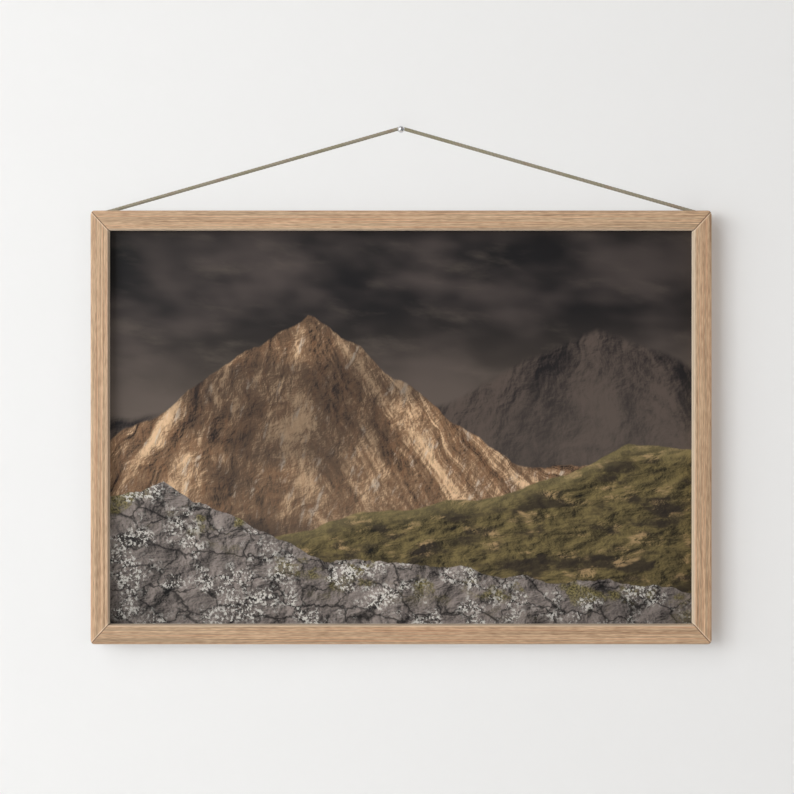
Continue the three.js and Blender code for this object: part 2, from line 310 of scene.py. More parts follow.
@dataclass(frozen=True)
class OakFinish:
    """Light oak, cut straight along the grain and oiled.

    Growth bands run the rail's whole length, and thin dark vessels are one to three centimetres
    long. The board's warmth changes from stripe to stripe between straw, peach and grey. The
    inner lip is painted paler as a painted highlight, stronger towards the print, and the mitre
    has a thin dark glue line, which on an upright rail has a painted highlight beside it.
    """

    name: str
    grain: Grain
    cut: float
    tone: float
    contrast: float
    pale: Colour = (228, 195, 160)
    deep: Colour = (134, 101, 73)
    peach: Colour = (204, 150, 115)
    grey: Colour = (162, 145, 121)
    painted_highlight: Colour = (254, 234, 208)
    glue: Colour = (92, 57, 34)
    bands: Streaks = Streaks(0.9, 0.0013, 1, 11.7)
    drifts: Streaks = Streaks(0.070, 0.0010, 1, 29.3)
    dashes: Streaks = Streaks(0.0085, 0.00066, 1, 23.9)
    threads: Streaks = Streaks(0.034, 0.0004, 1, 37.3)
    pores: Streaks = Streaks(0.022, 0.00055, 0, 51.9)
    warmth: Streaks = Streaks(0.30, 0.0016, 1, 3.1)
    drift_contrast: float = 0.78
    dash_contrast: float = 1.02
    thread_contrast: float = 0.45

    def layer(self, shader: Shader, streaks: Streaks) -> Value:
        """One layer of stretched noise.

        Args:
            shader: The shader to add it to.
            streaks: The layer's sizes.

        Returns:
            A value between 0 and 1.
        """
        scale = [1 / streaks.across] * 3
        scale[self.grain.value] = 1 / streaks.along
        seed = streaks.seed
        return shader.grit(tuple(scale), (self.cut + seed, seed * 1.7, self.cut - seed), streaks.detail)

    def material(self) -> Material:
        """The oak's material.

        Returns:
            The material, which reads the rail's painted lip highlight and its distance from the mitre.
        """
        shader = Shader.of_material(self.name)
        layers = (self.bands, self.drifts, self.dashes, self.threads, self.pores, self.warmth)
        bands, drifts, dashes, threads, pores, warmth = (self.layer(shader, each) for each in layers)
        tone = (bands - 0.5) * self.contrast + (drifts - 0.5) * self.drift_contrast
        tone = tone + (dashes - 0.5) * self.dash_contrast + (threads - 0.5) * self.thread_contrast
        pores = pores.rise(0.60, 0.72)
        from_mitre = shader.attribute("from_mitre")
        coats = [
            (warmth.rise(0.50, 0.64) * 0.40, self.peach),
            (warmth.rise(0.50, 0.36) * 0.38, self.grey),
            (pores * 0.50, self.deep),
            # painted highlight: the inner lip and the front face's edge beside it are painted paler,
            # more towards the print
            (shader.attribute("lip_highlight"), self.painted_highlight),
        ]
        if self.grain is Grain.UPRIGHT:
            # painted highlight: a pale line beside the mitre on the upright rails
            mitre_highlight = from_mitre.rise(0.3, 0.8) * from_mitre.rise(1.9, 0.9)
            coats.append((mitre_highlight * 0.42, self.painted_highlight))
        coats.append((from_mitre.rise(0.55, 0.20) * 0.80, self.glue))
        return shader.finish(
            Base_Color=shader.coats(shader.mix(tone + self.tone, self.deep, self.pale), *coats),
            Roughness=0.44 + 0.18 * threads,
            Normal=shader.bump(threads * 0.5 + dashes * 0.5 - pores, 0.12 * MM, 0.35),
            Specular_IOR_Level=0.3,
        )


class Canvas(Shader):
    """The print's shader, with the place on it as x and z in millimetres from its middle."""

    spur_spread: float = 110.0
    light_step: float = 0.05

    def __init__(self, middle_z: float) -> None:
        """Starts the material of a print whose middle is at that height."""
        super().__init__(bpy.data.materials.new("landscape_print"))
        self.x, _, self.z = self.split(self.place((1 / MM,) * 3, (0.0, 0.0, -middle_z / MM)))

    def patches(
        self, width: float, height: float, detail: float, seed: float, shift: Value | None = None
    ) -> Value:
        """Soft patches, 0 to 1, of a size in millimetres, moved across by a shift."""
        x = self.x if shift is None else self.x + shift
        return self.noise(self.join(x * (1 / width), seed, self.z * (1 / height)), detail, 0.6)

    def slope_light(self, u: Value, v: Value, step: float, detail: float, seed: float) -> Value:
        """The light on rough ground: how much a noise falls over a step to the right.

        Args:
            u: The place across the slope, in widths of the ground's forms.
            v: The place down the slope, in lengths of the forms.
            step: The step, in widths.
            detail: The noise's detail.
            seed: What sets this ground apart.

        Returns:
            A value about 0.5 on level ground, more where it faces the light on the left.
        """
        places = (self.join(u, seed, v), self.join(u + step, seed, v - step * 0.6))
        here, beside = (self.noise(place, detail, 0.6, 0.3) for place in places)
        return (here - beside) * (0.62 / step**0.65) + 0.5

    def ground(self, width: float, height: float, detail: float, seed: float) -> Value:
        """The light on open ground with forms of a width and height in millimetres."""
        across, up = self.x * (1 / width), self.z * (1 / height)
        return self.slope_light(across, up, self.light_step, detail, seed)

    def mountain(self, ridge: Ridge, under: Value, size: float) -> Value:
        """The light on a mountain whose spurs wander down from the peak and spread to the foot.

        The place across is x - peak + drift, over 1 + depth / spread, so a noise on it runs down
        the slope and widens. Broad spurs, ribs and crags are added up.

        Args:
            ridge: The mountain's ridge.
            under: Millimetres below the skyline.
            size: The width of a spur, in millimetres.

        Returns:
            A value about 0.5 on level ground, more where it faces the light on the left.
        """
        drift = (self.patches(size * 1.5, size * 1.5, 3, ridge.seed) - 0.5) * (size * 1.6)
        fan = (self.x + drift - ridge.peak_at) / (under * (1 / self.spur_spread) + 1.0)
        depth = under + drift * 0.7
        spurs = self.slope_light(fan * (0.55 / size), depth * (0.20 / size), 0.17, 2, ridge.seed + 6)
        ribs = self.slope_light(fan * (1.6 / size), depth * (0.75 / size), 0.09, 5, ridge.seed + 13)
        crags = self.ground(size * 0.42, size * 0.5, 8, ridge.seed + 19)
        return spurs * 0.85 + ribs * 0.55 + crags * 0.55 - 0.475


@dataclass(frozen=True)
class Ridge:
    """One ridge of the print's landscape, in millimetres from the print's middle.

    Its skyline is a level, a tilt, one tall peak shaped as a tent and a wandering noise. Its
    softness is how far out of focus its edge is.
    """

    level: float
    tilt: float
    peak_at: float
    peak_height: float
    peak_slope: float
    wander: float
    wander_length: float
    softness: float
    seed: float

    def skyline(self, canvas: Canvas) -> Value:
        """The skyline's height at x: level + tilt * x + peak + noise.

        Args:
            canvas: The print's shader.

        Returns:
            The height in millimetres.
        """
        noise = canvas.noise(canvas.join(canvas.x * (1 / self.wander_length), self.seed, 0.0), 6)
        tent = self.peak_height - (canvas.x - self.peak_at).size() * self.peak_slope
        hills = canvas.x * self.tilt + tent.most(0.0)
        return hills + noise * (2 * self.wander) + (self.level - self.wander)


@dataclass(frozen=True)
class LandscapePrint:
    """The print: storm light on a tawny peak, under a dark sky, behind mossy and stony slopes.

    A plain landscape of layered ridges. The distance is soft, as a long lens leaves it, and the
    stony slope in front is sharp. Each layer is painted from its depth under its own skyline.
    """

    middle_z: float
    far: Ridge = Ridge(24, 0.05, 205, 66, 0.42, 26, 150, 5.0, 4.3)
    peak: Ridge = Ridge(-34, -0.05, -98, 150, 0.70, 22, 70, 1.4, 9.1)
    moor: Ridge = Ridge(-92, 0.15, 240, 40, 0.30, 20, 120, 0.9, 15.7)
    stones: Ridge = Ridge(-146, -0.08, -250, 70, 0.46, 18, 60, 0.4, 21.3)
    half_width: float = 305.0
    half_height: float = 207.0
    storm: Colour = (24, 22, 24)
    cloud: Colour = (76, 67, 64)
    wisp: Colour = (100, 90, 81)
    gap: Colour = (116, 103, 92)
    far_gully: Colour = (28, 25, 27)
    far_rock: Colour = (88, 76, 69)
    haze: Colour = (92, 82, 75)
    gully: Colour = (30, 24, 23)
    tawny: Colour = (126, 98, 74)
    sunlit: Colour = (226, 190, 151)
    bracken: Colour = (158, 114, 80)
    scree: Colour = (212, 199, 182)
    cloud_shadow: Colour = (40, 34, 33)
    foot: Colour = (84, 73, 63)
    dark_moss: Colour = (22, 20, 16)
    pale_moss: Colour = (124, 109, 70)
    earth: Colour = (44, 37, 33)
    straw: Colour = (176, 146, 106)
    crest: Colour = (142, 128, 90)
    dark_stone: Colour = (18, 16, 17)
    pale_stone: Colour = (152, 140, 133)
    crack: Colour = (13, 11, 12)
    dark_cushion: Colour = (52, 47, 29)
    pale_cushion: Colour = (138, 126, 80)
    lichen: Colour = (214, 209, 200)

    def sky(self, canvas: Canvas) -> Value:
        """A dark sky of broad blurred clouds, with a paler gap low down.

        Args:
            canvas: The print's shader.

        Returns:
            The sky's colour.
        """
        clouds = canvas.patches(170, 80, 3, 0.7, canvas.z * 0.4)
        wisps = canvas.patches(75, 26, 4, 5.2, canvas.z * 0.9)
        return canvas.coats(
            canvas.mix(clouds.rise(0.34, 0.66), self.storm, self.cloud),
            (wisps.rise(0.50, 0.78) * 0.40, self.wisp),
            (canvas.z.rise(140.0, -20.0) * 0.50, self.gap),
        )

    def far_range(self, canvas: Canvas, under: Value) -> Value:
        """The far range: dim umber, paler with haze towards its foot.

        Args:
            canvas: The print's shader.
            under: Millimetres below the skyline.

        Returns:
            The range's colour.
        """
        light = canvas.mountain(self.far, under, 62.0)
        return canvas.coats(
            canvas.mix(light.rise(0.20, 0.80), self.far_gully, self.far_rock),
            (under.rise(0.0, 110.0) * 0.45, self.haze),
        )

    def tawny_peak(self, canvas: Canvas, under: Value) -> Value:
        """The sunlit peak: tawny spurs, dark gullies, pale scree, and a cloud's shadow on a side.

        Args:
            canvas: The print's shader.
            under: Millimetres below the skyline.

        Returns:
            The peak's colour.
        """
        light = canvas.mountain(self.peak, under, 40.0)
        cloud = canvas.patches(170, 120, 2, 31.4, canvas.z * 0.5).rise(0.50, 0.62)
        bracken = canvas.patches(5, 11, 4, 3.3).rise(0.44, 0.66)
        scree = canvas.patches(7, 26, 5, 8.8, under * 0.3).rise(0.56, 0.70)
        return canvas.coats(
            canvas.mix(light.rise(0.12, 0.50), self.gully, self.tawny),
            (light.rise(0.46, 0.84), self.sunlit),
            (bracken * 0.28, self.bracken),
            (scree * light.rise(0.36, 0.60) * 0.55, self.scree),
            (cloud * 0.60, self.cloud_shadow),
            (under.rise(60.0, 190.0) * 0.34, self.foot),
        )

    def mossy_moor(self, canvas: Canvas, under: Value) -> Value:
        """The moor: olive moss and tawny grass over dark earth, brighter along its crest.

        Args:
            canvas: The print's shader.
            under: Millimetres below the skyline.

        Returns:
            The moor's colour.
        """
        swells = canvas.ground(95, 34, 3, 27.5)
        light = canvas.ground(24, 13, 7, 12.6) * 0.6 + swells * 0.7 - 0.15
        earth = canvas.patches(52, 22, 5, 7.9).rise(0.48, 0.62)
        grass = canvas.patches(36, 14, 5, 33.2).rise(0.52, 0.66)
        return canvas.coats(
            canvas.mix(light.rise(0.16, 0.80), self.dark_moss, self.pale_moss),
            (earth * 0.8, self.earth),
            (grass * light.rise(0.40, 0.70) * 0.8, self.straw),
            (under.rise(22.0, 0.0) * 0.35, self.crest),
        )

    def stony_slope(self, canvas: Canvas, under: Value) -> Value:
        """The slope in front: dark stone, cracks, moss cushions and pale lichen.

        Args:
            canvas: The print's shader.
            under: Millimetres below the skyline.

        Returns:
            The slope's colour.
        """
        blocks = canvas.ground(70, 50, 2, 41.7)
        light = canvas.ground(28, 21, 10, 18.2) * 0.75 + blocks * 0.6 - 0.18
        bend = canvas.patches(22, 22, 3, 36.1) - 0.5
        place = canvas.join(canvas.x * 0.024 + bend * 1.1, 1.4, canvas.z * 0.036 - bend * 0.9)
        inputs = {"Vector": place, "Scale": 1.0, "Detail": 2.0}
        crack = canvas.node("ShaderNodeTexVoronoi", {"feature": "DISTANCE_TO_EDGE"}, inputs)
        cushions = canvas.patches(40, 28, 4, 2.9).rise(0.52, 0.62)
        tufts = canvas.patches(2, 2, 3, 6.1).rise(0.34, 0.66)
        moss = canvas.mix(tufts, self.dark_cushion, self.pale_cushion)
        crust = canvas.patches(34, 30, 3, 9.7).rise(0.46, 0.62)
        specks = canvas.patches(2.6, 2.6, 4, 4.6).rise(0.50, 0.58)
        return canvas.coats(
            canvas.mix(light.rise(0.14, 0.84), self.dark_stone, self.pale_stone),
            (crack.rise(0.05, 0.0) * 0.85, self.crack),
            (cushions * under.rise(50.0, 8.0) * 0.9, moss),
            (crust * specks * 0.9, self.lichen),
        )

    def material(self) -> Material:
        """The print's material: the layers from back to front, then the lens's darker corners.

        Returns:
            The material.
        """
        canvas = Canvas(self.middle_z)
        picture = self.sky(canvas)
        layers = (
            (self.far, self.far_range),
            (self.peak, self.tawny_peak),
            (self.moor, self.mossy_moor),
            (self.stones, self.stony_slope),
        )
        for ridge, paint in layers:
            under = ridge.skyline(canvas) - canvas.z
            cover = under.rise(-ridge.softness, ridge.softness)
            picture = canvas.mix(cover, picture, paint(canvas, under))
        across, up = canvas.x * (1 / self.half_width), canvas.z * (1 / self.half_height)
        spread = across * across + up * up
        paper_grain = canvas.grit(2600.0, (0.0, 0.0, 0.0), 2)
        return canvas.finish(
            Base_Color=canvas.mix(spread.rise(0.6, 2.3) * 0.50, picture, (0, 0, 0)),
            Roughness=0.42 + 0.10 * paper_grain,
            Normal=canvas.bump(paper_grain, 0.02 * MM, 0.2),
            Specular_IOR_Level=0.2,
        )


@dataclass(frozen=True)
class BoardFinish:
    """Raw brown hardboard: pressed fibres in every direction."""

    brown: Colour = (150, 115, 79)
    faded: Colour = (159, 123, 86)
    dark_fibre: Colour = (110, 79, 50)
    pale_fleck: Colour = (190, 154, 112)

    def material(self) -> Material:
        """The board's material.

        Returns:
            The material.
        """
        shader = Shader.of_material("hardboard_back")
        clouds = shader.grit(28.0, (1.0, 2.0, 3.0), 3)
        fibres = shader.grit((900.0, 900.0, 420.0), (5.0, 1.0, 0.0), 4, 0.65)
        flecks = shader.grit((260.0, 260.0, 700.0), (7.0, 3.0, 2.0), 3, 0.6)
        board = shader.coats(
            shader.mix(clouds.rise(0.35, 0.65), self.brown, self.faded),
            (fibres.rise(0.55, 0.32) * 0.5, self.dark_fibre),
            (flecks.rise(0.62, 0.72) * 0.5, self.pale_fleck),
        )
        bump = shader.bump(fibres + flecks, 0.10 * MM, 0.5)
        return shader.finish(Base_Color=board, Roughness=0.72 + 0.18 * fibres, Normal=bump)


@dataclass(frozen=True)
class MetalFinish:
    """A metal with fine machining or polishing marks and a little tarnish."""

    name: str
    bright: Colour
    dull: Colour
    roughness: float
    marks: float

    def material(self) -> Material:
        """The metal's material.

        Returns:
            The material.
        """
        shader = Shader.of_material(self.name)
        tarnish = shader.grit(240.0, (2.0, 4.0, 1.0), 4)
        marks = shader.grit((900.0, 5200.0, 900.0), (0.0, 1.0, 0.0), 2)
        return shader.finish(
            Base_Color=shader.mix(tarnish.rise(0.40, 0.68), self.bright, self.dull),
            Metallic=1.0,
            Roughness=self.roughness + (self.marks * 0.5) * (tarnish + marks),
            Normal=shader.bump(marks, 0.02 * MM, self.marks),
        )


@dataclass(frozen=True)
class CordFinish:
    """Twisted khaki cotton: each strand's fine yarns, with olive and brown lengths, and painted shade in
    the valleys and on the underside.
    """

    shade: Colour = (159, 151, 131)
    olive: Colour = (153, 146, 121)
    brown: Colour = (158, 143, 123)
    painted_shade: Colour = (96, 88, 74)

    def material(self) -> Material:
        """The cord's material.

        Its UV map runs round the cord in u and along it, in metres, in v.

        Returns:
            The material, which reads where shade is painted: the cord's valleys and its underside.
        """
        shader = Shader.of_material("cord_cotton")
        turn, run, _ = shader.split(shader.node("ShaderNodeUVMap", {"uv_map": "Strands"}))
        lengths = shader.noise(shader.join(run * 55.0, 0.4, 0.0), 3)
        yarns = shader.noise(shader.join(turn * 26.0, run * 90.0, 2.0), 2)
        tint = shader.coats(
            shader.mix(lengths.rise(0.40, 0.50), self.olive, self.shade),
            (lengths.rise(0.54, 0.64), self.brown),
            # painted shade: darker where the yarns sink, in the valleys between strands and on the
            # underside
            (yarns.rise(0.55, 0.35) * 0.35, self.painted_shade),
            (shader.attribute("painted_shade") * 0.5, self.painted_shade),
            (shader.attribute("painted_underside_shade") * 0.35, self.painted_shade),
        )
        return shader.finish(
            Base_Color=tint,
            Roughness=0.86,
            Normal=shader.bump(yarns, 0.06 * MM, 0.6),
            Specular_IOR_Level=0.2,
            Sheen_Weight=0.15,
        )


@dataclass(frozen=True)
class RubberFinish:
    """Dull dark rubber with dust in its fine pits."""

    black: Colour = (48, 46, 48)
    dusty: Colour = (92, 88, 84)

    def material(self) -> Material:
        """The rubber's material.

        Returns:
            The material.
        """
        shader = Shader.of_material("bumper_rubber")
        pits = shader.grit(1500.0, (1.0, 0.0, 2.0), 3)
        dust = shader.grit(160.0, (4.0, 0.0, 2.0), 3)
        rubber = shader.mix(dust.rise(0.48, 0.75) * 0.6, self.black, self.dusty)
        bump = shader.bump(pits, 0.04 * MM, 0.5)
        return shader.finish(Base_Color=rubber, Roughness=0.62 + 0.2 * dust, Normal=bump)


def put(name: str, points: Array, faces: list[list[int]], smooth_angle: float = SMOOTH_ANGLE) -> Piece:
    """Makes a mesh object at the origin, smooth but for edges sharper than an angle.

    Args:
        name: The object's name.
        points: Vertex places, shape (n, 3), in metres.
        faces: Vertex numbers of each face.
        smooth_angle: Edges that turn more than this stay sharp, in degrees.

    Returns:
        The object, linked to the scene.
    """
    mesh = bpy.data.meshes.new(name)
    mesh.from_pydata(points.reshape(-1, 3), [], faces)
    mesh.validate()
    mesh.shade_smooth()
    mesh.set_sharp_from_angle(angle=math.radians(smooth_angle))
    mesh.update()
    made = bpy.data.objects.new(name, mesh)
    bpy.context.scene.collection.objects.link(made)
    return made


def hold(made: Piece, name: str, values: Array) -> None:
    """Stores a number at each point of a mesh, for its material to read."""
    attribute = made.data.attributes.new(name, "FLOAT", "POINT")
    attribute.data.foreach_set("value", values.ravel().astype(np.float32))


def dress(made: Piece, finish: Material) -> None:
    """Gives an object one material in place of its own."""
    made.data.materials.clear()
    made.data.materials.append(finish)


def fit(made: Piece, finish: Material, node: str | None = None) -> Piece:
    """Dresses a piece, gives it to the one body and reports it.

    Args:
        made: The piece.
        finish: The material.
        node: The solid that it stands for, if it stands for one.

    Returns:
        The piece.
    """
    dress(made, finish)
    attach(made, "root")
    if node:
        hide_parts(node)
    LOG.info("%s", made.name)
    return made


def quads(rows: int, columns: int, around: bool = False) -> Array:
    """The faces of a grid of points: each joins a row and the next, a column and the next.

    Args:
        rows: The number of rows.
        columns: The number of points in a row.
        around: True if the last column joins the first.

    Returns:
        Vertex numbers, shape (faces, 4).
    """
    row = np.arange(rows - 1)[:, None]
    column = np.arange(columns if around else columns - 1)[None, :]
    after = (column + 1) % columns
    corners = [row * columns + column, row * columns + after]
    corners += [(row + 1) * columns + after, (row + 1) * columns + column]
    return np.stack(np.broadcast_arrays(*corners), axis=-1).reshape(-1, 4)


def lofted(name: str, rings: Array, smooth_angle: float = SMOOTH_ANGLE) -> Piece:
    """A closed body: rings of points joined in turn, with a flat face at each end.

    Args:
        name: The object's name.
        rings: Shape (rings, points, 3). Seen along the body, each ring runs clockwise.
        smooth_angle: Edges that turn more than this stay sharp, in degrees.

    Returns:
        The object.
    """
    count, columns = rings.shape[:2]
    faces = quads(count, columns, around=True).tolist()
    first = np.arange(columns)[::-1].tolist()
    last = (np.arange(columns) + (count - 1) * columns).tolist()
    return put(name, rings, faces + [first, last], smooth_angle)


def turned(name: str, profile: Array, centre: Vector, axis: Vector, sides: int = 48) -> Piece:
    """A turned body: each profile point goes once round the axis.

    A point is centre + height * axis + radius * (cos t * across + sin t * other). The first and
    last profile points are close to the axis and are closed by a small flat face.

    Args:
        name: The object's name.
        profile: Shape (n, 2): radius and height along the axis, in metres, in order of travel.
        centre: The point where the height is 0.
        axis: The axis, of length 1.
        sides: The number of points round.

    Returns:
        The object.
    """
    across = axis.orthogonal().normalized()
    other = axis.cross(across)
    angle = np.linspace(0, 2 * np.pi, sides, endpoint=False)[:, None]
    spoke = np.cos(angle) * np.array(across) + np.sin(angle) * np.array(other)
    rings = np.array(centre) + profile[:, None, 1:] * np.array(axis) + profile[:, None, :1] * spoke
    return lofted(name, rings)


def unit(vectors: Array) -> Array:
    """Vectors in rows, each brought to length 1."""
    return vectors / np.linalg.norm(vectors, axis=1, keepdims=True)


def travelled(points: Array) -> Array:
    """The length along a path up to each of its points."""
    return np.concatenate([[0.0], np.cumsum(np.linalg.norm(np.diff(points, axis=0), axis=1))])


def rounded(corners: list[Triple], steps: int) -> Array:
    """A closed outline with rounded corners.

    Each corner is replaced by points on the curve corner + r * (a(1-t)^2 + b t^2), where a and b
    are the directions to its neighbours, which is close to an arc of radius r.

    Args:
        corners: x, y and rounding of each corner.
        steps: The number of steps in each rounding; a rounding of 0 leaves one point.

    Returns:
        The outline, shape (n, 2).
    """
    places = np.array([corner[:2] for corner in corners])
    start = unit(np.roll(places, 1, axis=0) - places)
    end = unit(np.roll(places, -1, axis=0) - places)
    t = np.linspace(0, 1, steps + 1)[:, None]
    parts = []
    for index, (_, _, rounding) in enumerate(corners):
        curve = start[index] * (1 - t) ** 2 + end[index] * t**2
        parts.append(places[index] + (rounding * curve if rounding else np.zeros((1, 2))))
    return np.concatenate(parts)


def inset(outline: Array, depth: float) -> Array:
    """Moves a closed outline inwards by a depth, each point along its own normal.

    Args:
        outline: The outline, shape (n, 2).
        depth: How far it moves.

    Returns:
        The moved outline.
    """
    before = unit(outline - np.roll(outline, 1, axis=0))
    after = unit(np.roll(outline, -1, axis=0) - outline)
    along = unit(before + after)
    return outline + depth * np.stack([-along[:, 1], along[:, 0]], axis=1)


@dataclass
class Camera:
    """The photograph's camera: level, square to the wall, its lens axis near the pin's line."""

    lens: float = 70.0
    sensor: float = 36.0
    from_front: float = 1.6144
    left_of_pin: float = 4.29 * MM
    below_pin: float = 282.0 * MM

    def build(self, front_y: float) -> None:
        """Adds the camera.

        Args:
            front_y: The y of the rails' front faces.
        """
        data = bpy.data.cameras.new("photo_camera")
        data.lens = self.lens
        data.sensor_width = self.sensor
        camera = bpy.data.objects.new("photo_camera", data)
        camera.location = (-self.left_of_pin, front_y - self.from_front, -self.below_pin)
        camera.rotation_euler = (math.pi / 2, 0.0, 0.0)
        bpy.context.scene.collection.objects.link(camera)
        bpy.context.scene.camera = camera


@dataclass
class HangingCord:
    """The twisted cord: its route, its relief, and the eyes that hold it to the tie screws."""

    diameter: float = 3.4 * MM
    from_wall: float = 3.4 * MM
    strands: int = 3
    strand_radius: float = 1.60 * MM
    strand_offset: float = 0.34 * MM
    lay: float = 11.5 * MM
    sides: int = 24
    ring_step: float = 0.5 * MM
    bend_reach: int = 3
    valley_share: float = 0.4
    screw_x: float = 316.8 * MM
    screw_below_sleeve: float = 16.2 * MM
    eye_radius: float = 3.65 * MM
    eye_points: int = 40
    leg_straight: float = 1.0 * MM
    leg_gap: float = 0.2 * MM
    sleeve_length: float = 9.0 * MM
    sleeve_edge: float = 0.25 * MM
    sleeve_easing: float = 0.08
    sleeve_grid: tuple[int, int] = (40, 48)
    pinch_depth: float = 0.14
    pinch_width: float = 0.1
    pinches: tuple[float, float] = (0.32, 0.68)
    tail_length: float = 6.0 * MM
    tail_gap: float = 0.15 * MM
    tail_bend: float = 1.2 * MM
    tail_points: int = 8
    route_right: tuple[tuple[float, float], ...] = (
        (0.0, 0.00287),
        (0.00206, 0.00258),
        (0.07981, -0.01966),
        (0.15756, -0.04191),
        (0.23531, -0.06415),
        (0.31306, -0.0864),
        (0.31525, -0.08691),
        (0.31699, -0.08858),
        (0.31811, -0.09071),
        (0.3185, -0.09309),
        (0.3185, -0.1002),
        (0.3185, -0.1073),
    )

    def flat(self, x: Array, z: Array) -> Array:
        """Points in the cord's own plane, parallel to the wall."""
        return np.stack([x, np.full(len(x), -self.from_wall), z], axis=1)

    def route(self) -> Array:
        """The whole route, left to right, as points."""
        right = self.flat(*np.array(self.route_right).T)
        return np.concatenate([right[:0:-1] * np.array([-1.0, 1.0, 1.0]), right])

    def centres(self, points: Array) -> Array:
        """Ring centres at even steps along a route whose bends are rounded off.

        The route is walked at equal lengths, and each centre is then the mean of a short stretch
        round it, which turns the corners between points into smooth bends.

        Args:
            points: The route's points, shape (n, 3).

        Returns:
            The centres, shape (m, 3).
        """
        lengths = travelled(points)
        at = np.linspace(0, lengths[-1], int(round(lengths[-1] / self.ring_step)) + 1)
        walked = np.stack([np.interp(at, lengths, points[:, k]) for k in range(3)], axis=1)
        ends = (walked[:1].repeat(self.bend_reach, 0), walked, walked[-1:].repeat(self.bend_reach, 0))
        padded = np.concatenate(ends)
        window = np.ones(2 * self.bend_reach + 1) / (2 * self.bend_reach + 1)
        smooth = np.stack([np.convolve(padded[:, k], window, "valid") for k in range(3)], axis=1)
        smooth[[0, -1]] = walked[[0, -1]]
        return smooth

    def tube(self, name: str, centres: Array) -> Piece:
        """A length of twisted cord.

        The radius at an angle is that of strand circles set round the middle: offset * cos p +
        sqrt(r^2 - (offset * sin p)^2), where p is the angle from the nearest strand's middle. The
        strands turn once in every lay.

        Args:
            name: The object's name.
            centres: The ring centres, shape (n, 3), in a plane of constant y.

        Returns:
            The object, which holds its strands' UV map and where shade is painted: its valleys and its
            underside.
        """
        offset = self.strand_offset
        toward = np.array([0.0, -1.0, 0.0])
        side = np.cross(unit(np.gradient(centres, axis=0)), toward)
        run = travelled(centres)
        angle = np.linspace(0, 2 * np.pi, self.sides, endpoint=False)[None, :]
        sector = 2 * np.pi / self.strands
        twisted = angle - (2 * np.pi / self.lay) * run[:, None]
        p = (twisted + sector / 2) % sector - sector / 2
        radius = offset * np.cos(p) + np.sqrt(self.strand_radius**2 - (offset * np.sin(p)) ** 2)
        out = np.cos(angle)[..., None] * toward + np.sin(angle)[..., None] * side[:, None, :]
        made = lofted(name, centres[:, None, :] + radius[..., None] * out, 180.0)
        # where shade is painted: the valleys between strands, and the underside
        above_valley = (radius - radius.min()) / (self.valley_share * (radius.max() - radius.min()))
        hold(made, "painted_shade", np.clip(1 - above_valley, 0, 1))
        hold(made, "painted_underside_shade", np.clip(-out[..., 2], 0, 1))
        self.map_strands(made, run)
        return made

    def map_strands(self, made: Piece, run: Array) -> None:
        """Adds the UV map: u once round the strands, which follows their twist, and v the run.

        Args:
            made: The length of cord.
            run: The length along it up to each ring.
        """
        corner = np.zeros(len(made.data.loops), np.int32)
        made.data.loops.foreach_get("vertex_index", corner)
        row, column = corner // self.sides, corner % self.sides
        tube_corners = (len(run) - 1) * self.sides * 4
        wraps = np.zeros(len(corner), bool)
        wraps[:tube_corners] = (column[:tube_corners].reshape(-1, 4).max(1) == self.sides - 1).repeat(4)
        turn = (column + self.sides * (wraps & (column == 0))) / self.sides - run[row] / self.lay
        layer = made.data.uv_layers.new(name="Strands")
        layer.data.foreach_set("uv", np.stack([turn, run[row]], axis=1).ravel().astype(np.float32))

    def eye_path(self, side: Side, sleeve_top: float) -> Array:
        """The turned-back end: down one side of the sleeve, round the screw and up to a cut tail.

        The bottom is part of a circle round the screw, and straight legs touch it from the sleeve.

        Args:
            side: The side of the frame.
            sleeve_top: The z of the sleeve's upper face.

        Returns:
            The path's points.
        """
        half = self.diameter / 2
        leg_top = self.screw_below_sleeve - self.sleeve_length - self.leg_gap
        leg_bend = self.screw_below_sleeve - self.sleeve_length - self.leg_straight
        touch = math.atan2(half, leg_bend) + math.acos(self.eye_radius / math.hypot(half, leg_bend))
        angle = np.linspace(touch, 2 * np.pi - touch, self.eye_points)
        arc = self.eye_radius * np.stack([np.sin(angle), np.cos(angle)], axis=1)
        legs = np.array([[half, leg_top], [half, leg_bend], [-half, leg_bend], [-half, leg_top]])
        x, z = np.concatenate([legs[:2], arc, legs[2:]]).T
        return self.flat(side.value * (self.screw_x + x), sleeve_top - self.screw_below_sleeve + z)

    def tail_path(self, side: Side, sleeve_top: float) -> Array:
        """The cut tail above the sleeve: it leans towards the middle by bend * t^2.

        Args:
            side: The side of the frame.
            sleeve_top: The z of the sleeve's upper face.

        Returns:
            The path's points.
        """
        t = np.linspace(0, 1, self.tail_points)
        x = self.screw_x - self.diameter / 2 - self.tail_bend * t**2
        return self.flat(side.value * x, sleeve_top + self.tail_gap + self.tail_length * t)

    def sleeve(self, side: Side) -> Piece:
        """A clamp sleeve: an oval tube, pinched by the pliers at two places.

        Its outline at height t is the oval less pinch * exp(-((t - t0) / w)^2) in its thickness.

        Args:
            side: The side of the frame.

        Returns:
            The sleeve, not yet dressed.
        """
        low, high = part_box(f"cord_sleeve_{side.label}")
        middle = (low + high) / 2
        half_thick = (high.y - low.y) / 2
        half_straight = (high.x - low.x) / 2 - half_thick
        angle = np.linspace(0, 2 * np.pi, self.sleeve_grid[1], endpoint=False)
        x = half_thick * np.cos(angle) + half_straight * np.sign(np.cos(angle))
        y = half_thick * np.sin(angle)
        t = np.linspace(0, 1, self.sleeve_grid[0])[:, None]
        ends = np.clip(np.minimum(t, 1 - t) * (high.z - low.z) / self.sleeve_edge, 0, 1)
        shrink = 1 - self.sleeve_easing * (1 - ends) ** 2
        dents = sum(np.exp(-(((t - place) / self.pinch_width) ** 2)) for place in self.pinches)
        thickness = shrink * (1 - self.pinch_depth * dents)
        height = low.z + (high.z - low.z) * t
        parts = np.broadcast_arrays(middle.x + x * shrink, middle.y + y * thickness, height)
        return lofted(f"clamp_sleeve_{side.label}", np.stack(parts, axis=-1), 60.0)

